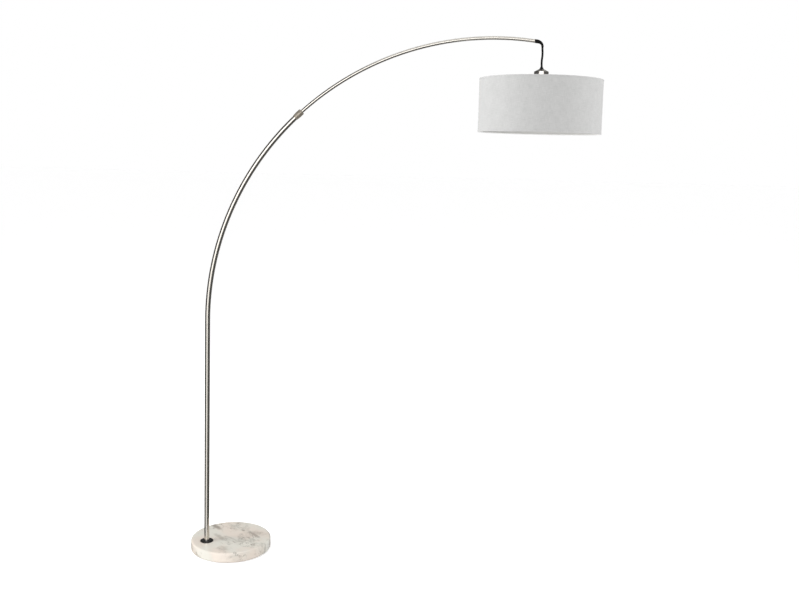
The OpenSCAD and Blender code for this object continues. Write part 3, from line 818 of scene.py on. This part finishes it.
nut_low, nut_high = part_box("shade_ring_nut")
nut_r = (nut_high.x - nut_low.x) / 2
FLUTES = 28
FLUTE_DEPTH = 0.0009
NUT_RIM = 0.002


def fluted(turn, radius, height):
    if radius < nut_r - NUT_RIM:
        return radius
    return radius - FLUTE_DEPTH / 2 * (1 - math.cos(FLUTES * turn))


nut_outline = soften([(HOLDER_R, nut_high.z), (HOLDER_R, nut_low.z),
                      (nut_r, nut_low.z), (nut_r, nut_high.z)], 0.001)
turned("fluted_ring_nut", nut_outline, on_pendant, phenolic.material, "pendant",
       ("shade_ring_nut",), sides=224, cut=fluted, sharp=50)

# ---- Spider and shade rings ----
# A pressed steel fitter with three wires welded to the shade's top ring, and a second ring
# at the bottom. All of it is powder coated white.
coat = Finish("white_powder_coat")
peel = coat.noise(coat.place(), 900, detail=2)
coat.bump(peel, 0.00006, 0.6)
powder = coat.noise(coat.place(), 60, detail=2)
coat.set(Base_Color=coat.blend(powder, (0.74, 0.735, 0.72), (0.82, 0.815, 0.8)),
         Roughness=0.36 + 0.12 * peel)
paint(coat.material, "shade_top_ring", "shade_bottom_ring")
ring_low, ring_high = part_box("shade_top_ring")
ring_r = (ring_high.x - ring_low.x) / 2
RING_WIRE_R = 0.0015
ARM_WIRE_R = 0.002
ARM_WIRES = 3
FIRST_WIRE = 60                     # degrees from the lamp's arm
PLATE_H = 0.0016
WELD_LAP = 0.003                    # the wires start this far in from the plate's edge
RING_GAP = 0.0016                   # and end this far short of the ring wire's middle
PLATE_BEAD = 0.004                  # lengths of the weld beads
RING_BEAD = 0.006
# how much thicker or thinner a wire is at the first and last rings of its weld beads
WELDS = ((0, 0.7), (1, 1.2), (2, 1.15), (-3, 1.1), (-2, 1.25), (-1, 0.8))
plate_low = nut_high.z
plate_high = plate_low + PLATE_H
plate_r = cup_r + 0.005
plate_bore = HOLDER_R + 0.0003
plate_outline = soften([(plate_bore, plate_low), (plate_r, plate_low), (plate_r, plate_high),
                        (plate_bore, plate_high)], 0.0006)
turned("spider_plate", plate_outline, on_pendant, coat.material, "pendant",
       ("spider_fitter",))
for k in range(ARM_WIRES):
    turn = math.radians(FIRST_WIRE + 360 / ARM_WIRES * k)
    outward = Vector((math.cos(turn), math.sin(turn), 0))
    plate_end = hang + outward * (plate_r - WELD_LAP) + Vector((0, 0, plate_low + PLATE_H / 2))
    wire_end = hang + outward * (ring_r - RING_WIRE_R) + Vector((0, 0, (ring_low.z + ring_high.z) / 2))
    reach = (wire_end - plate_end).normalized()
    stops = [plate_end, plate_end + reach * PLATE_BEAD, plate_end.lerp(wire_end, 0.5),
             wire_end - reach * RING_BEAD, wire_end - reach * RING_GAP]
    wire_path = smooth_path(stops, 5)
    beside = Vector((-outward.y, outward.x, 0))
    wire_radii = [ARM_WIRE_R] * len(wire_path)
    for index, weld in WELDS:
        wire_radii[index] = ARM_WIRE_R * weld
    ring_tube(f"spider_wire_{k + 1}", along_path(wire_path, wire_radii, beside), coat.material,
              "pendant", sides=16)

# ---- Shade lining ----
# A sheet of white styrene, rolled into a drum and glued round the two rings.
# It keeps the linen smooth and spreads the light.
SHADE_R = 0.2285
TAPE = 0.0005
LINEN = 0.0007
STYRENE = 0.0005
shade_low, shade_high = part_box("shade_fabric")
trim_low, trim_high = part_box("top_trim")
hem_low, hem_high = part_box("bottom_trim")
linen_r = SHADE_R - TAPE
lining_r = linen_r - LINEN


def ripple(turn, height):
    """The faint flats and swells of a sheet pulled round two rings."""
    share = (height - shade_low.z) / (shade_high.z - shade_low.z)
    belly = math.sin(math.pi * min(max(share, 0), 1))
    return belly * (0.00022 * math.sin(5 * turn + 0.7) + 0.00012 * math.sin(11 * turn + 2.1 + 2 * share)
                    - 0.0002)


def drum(name, outer, inner, low, high, material, replaced, rows=24):
    """A sheet rolled into a drum, with the ripple of its stretching."""
    outline = [(inner, high), (inner, low), (outer, low), (outer, high)]
    outline = ladder(ladder(outline, 2, 3, rows), 0, 1, rows)
    return turned(name, outline, on_pendant, material, "pendant", replaced, sides=240,
                  cut=lambda turn, radius, height: radius + ripple(turn, height), sharp=60)


# The lining's colour is painted grey, well below white styrene: painted shade for the inside of the drum.
shaded_styrene = Finish("styrene_with_painted_shade")
milk = shaded_styrene.noise(shaded_styrene.place(), 45, detail=3)
pebble = shaded_styrene.noise(shaded_styrene.place(), 1500, detail=2)
shaded_styrene.bump(pebble, 0.00004, 0.5)
shaded_styrene.set(Base_Color=shaded_styrene.blend(milk, (0.50, 0.495, 0.48), (0.57, 0.565, 0.55)),
            Roughness=0.38 + 0.1 * pebble)
drum("styrene_lining", lining_r, lining_r - STYRENE, shade_low.z, shade_high.z, shaded_styrene.material,
     ("shade_lining",))

# ---- Shade fabric ----
# Natural white linen in a plain weave with slubs, laminated to the lining.
# It is one straight strip, 197 mm deep, whose ends overlap at the side seam.


def linen_cloth(name, dark, light):
    """Plain woven linen: crossing threads, slubs along both of them, and soft mottling."""
    thread = 0.0007                 # from one thread to the next
    cloth = Finish(name, Sheen_Weight=0.15, Sheen_Roughness=0.6, Specular_IOR_Level=0.25)
    x, y, z = cloth.split(cloth.place())
    round_way = (y - hang.y).angle(x - hang.x) * SHADE_R
    warp = (round_way * (math.pi / thread)).sin()
    weft = (z * (math.pi / thread)).sin()
    over = (warp * weft).ramp(-0.3, 0.3)
    weave = over * abs(warp) + (1 - over) * abs(weft)
    slub_round = cloth.noise(cloth.join(round_way * 45, z * 620, 0.0), 1, detail=3, roughness=0.6)
    slub_down = cloth.noise(cloth.join(round_way * 620, z * 45, 3.0), 1, detail=3, roughness=0.6)
    mottle = cloth.noise(cloth.place(), 30, detail=3)
    tone = slub_round * 0.42 + slub_down * 0.42 + mottle * 0.16
    cloth.bump(weave * 0.7 + (slub_round + slub_down) * 0.5, 0.00016, 0.8)
    return cloth.set(Base_Color=cloth.blend((tone + weave * 0.06).ramp(0.36, 0.68), dark, light),
                     Roughness=0.82 + 0.12 * weave)


linen = linen_cloth("natural_linen", (0.41, 0.41, 0.406), (0.50, 0.50, 0.495))
linen_wall = drum("linen_wall", linen_r, lining_r, shade_low.z, shade_high.z, linen,
                  ("shade_fabric",), rows=32)

# ---- Trims ----
# Linen tape folded over the shade's upper and lower edges and glued.
# It covers the cut edges of the linen and the lining.
TRIM_W = trim_high.z - trim_low.z
tape_cloth = linen_cloth("linen_tape", (0.42, 0.42, 0.415), (0.51, 0.51, 0.505))


def tape_trim(name, edge, inward, replaced):
    """A folded tape whose edge is at height edge; inward is +1 or -1 towards the shade's middle."""
    folded = [(lining_r - STYRENE, TAPE), (lining_r - STYRENE, 0), (SHADE_R, 0), (SHADE_R, TRIM_W),
              (linen_r, TRIM_W), (linen_r, TAPE)]
    outline = [(radius, edge + inward * depth) for radius, depth in soften(folded, 0.0004)]
    if inward > 0:
        outline.reverse()

    def uneven(turn, radius, height):
        loose = abs(height - edge) / TRIM_W
        return radius + 0.00012 * loose * math.sin(17 * turn + 1.3) + ripple(turn, height) * loose

    return turned(name, outline, on_pendant, tape_cloth, "pendant", replaced, sides=240,
                  cut=uneven, sharp=50)


upper_tape = tape_trim("upper_tape", trim_high.z, -1, ("top_trim",))
lower_tape = tape_trim("lower_tape", hem_low.z, 1, ("bottom_trim",))

# ---- Side seam ----
# The end of the linen strip laps 12 mm over its start and is glued down.
# Near the top its free edge has come unstuck and stands off a little, by up to LIFT.
SEAM_W = 0.012
SEAM_ROWS = 60
SEAM_COLUMNS = 10
LIFT = 0.0024
seam_low, seam_high = hem_high.z, trim_low.z
LIFT_LOW = seam_high - 0.056
LIFT_HIGH = seam_high - 0.004


def lift_at(height):
    share = (height - LIFT_LOW) / (LIFT_HIGH - LIFT_LOW)
    return LIFT * math.sin(math.pi * share) ** 0.7 if 0 < share < 1 else 0.0


seam_points = []
for skin in (TAPE, 0.0):
    for i in range(SEAM_ROWS + 1):
        height = seam_low + (seam_high - seam_low) * i / SEAM_ROWS
        for j in range(SEAM_COLUMNS + 1):
            free = 1 - j / SEAM_COLUMNS
            turn = (j / SEAM_COLUMNS - 0.5) * SEAM_W / SHADE_R
            reach = linen_r + ripple(turn, height) + skin + lift_at(height) * free ** 2
            seam_points.append(hang + Vector((reach * math.cos(turn), reach * math.sin(turn), height)))
per_skin = (SEAM_ROWS + 1) * (SEAM_COLUMNS + 1)
wide = SEAM_COLUMNS + 1
seam_faces = []
for i in range(SEAM_ROWS):
    for j in range(SEAM_COLUMNS):
        quad = (i * wide + j, i * wide + j + 1, (i + 1) * wide + j + 1, (i + 1) * wide + j)
        seam_faces.append(quad)
        seam_faces.append(tuple(index + per_skin for index in reversed(quad)))
border = list(range(wide)) + [i * wide + SEAM_COLUMNS for i in range(1, SEAM_ROWS + 1)]
border += [SEAM_ROWS * wide + j for j in reversed(range(SEAM_COLUMNS))]
border += [i * wide for i in reversed(range(1, SEAM_ROWS))]
for k, index in enumerate(border):
    following = border[(k + 1) % len(border)]
    seam_faces.append((following, index, index + per_skin, following + per_skin))
seam_flap = make_piece("seam_flap", seam_points, seam_faces, linen, "pendant",
                       ("side_seam",), 50)

# ---- Bulb ----
# A 60 mm opal glass bulb on a rolled aluminium E26 cap with a black glass insulator.
# It hangs in the lampholder with its ball below, 70 mm above the shade's lower edge.
opal = Finish("opal_glass", Coat_Weight=0.6, Coat_Roughness=0.05)
haze = opal.noise(opal.place(), 70, detail=2)
opal.set(Base_Color=opal.blend(haze, (0.84, 0.83, 0.80), (0.90, 0.895, 0.87)),
         Roughness=0.22 + 0.08 * haze)
glass_low, glass_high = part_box("bulb_glass")
cap_low, cap_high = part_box("bulb_cap")
bulb_r = (glass_high.x - glass_low.x) / 2
GLASS_NECK = 0.0125
NECK_REACH = 1.15                   # from the ball's middle to the neck, in bulb radii
NECK_STEPS = 14
BALL_STEP = 6                       # degrees
ball_z = glass_low.z + bulb_r
bulb_outline = [(bulb_r * math.cos(math.radians(a)), ball_z + bulb_r * math.sin(math.radians(a)))
                for a in range(-90, 1, BALL_STEP)]
for step in range(1, NECK_STEPS + 1):
    share = step / NECK_STEPS
    bulb_outline.append((GLASS_NECK + (bulb_r - GLASS_NECK) * (1 + math.cos(math.pi * share)) / 2,
                         ball_z + bulb_r * NECK_REACH * share))
bulb_outline += [(GLASS_NECK, glass_high.z), (0, glass_high.z)]
turned("opal_bulb", capped(bulb_outline), on_pendant, opal.material, "pendant",
       ("bulb_glass",), sides=72)

aluminium = Finish("rolled_aluminium", Metallic=1.0)
scuff = aluminium.noise(aluminium.place(), 400, detail=3, roughness=0.6)
aluminium.bump(scuff, 0.00004, 0.5)
aluminium.set(Base_Color=aluminium.blend(scuff, (0.66, 0.67, 0.69), (0.8, 0.8, 0.82)),
              Roughness=0.25 + 0.2 * scuff)
CAP_R = 0.0132
CAP_ROWS = 72
INSULATOR_TOP_R = 0.0045
cap_outline = [(GLASS_NECK, cap_high.z), (GLASS_NECK, cap_low.z), (CAP_R, cap_low.z), (CAP_R, cap_high.z)]
cap_outline = ladder(cap_outline, 2, 3, CAP_ROWS)


def cap_thread(turn, radius, height):
    if radius < CAP_R - 1e-6:
        return radius
    return radius - LAMP_THREAD * (1 - math.sin(2 * math.pi * height / LAMP_PITCH - turn))


turned("rolled_cap", cap_outline, on_pendant, aluminium.material, "pendant", ("bulb_cap",),
       sides=48, cut=cap_thread, sharp=60)

insulator = Finish("black_glass", Coat_Weight=0.5, Coat_Roughness=0.05)
cooled = insulator.noise(insulator.place(), 500, detail=3)
insulator.set(Base_Color=insulator.blend(cooled, (0.01, 0.01, 0.012), (0.035, 0.035, 0.04)),
              Roughness=0.15 + 0.1 * cooled)
tip_low, tip_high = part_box("bulb_contact")
insulator_r = (tip_high.x - tip_low.x) / 2
insulator_outline = soften([(0, tip_low.z), (insulator_r, tip_low.z), (INSULATOR_TOP_R, tip_high.z),
                            (0, tip_high.z)], 0.0008)
turned("cap_insulator", capped(insulator_outline), on_pendant, insulator.material, "pendant",
       ("bulb_contact",), sides=40)
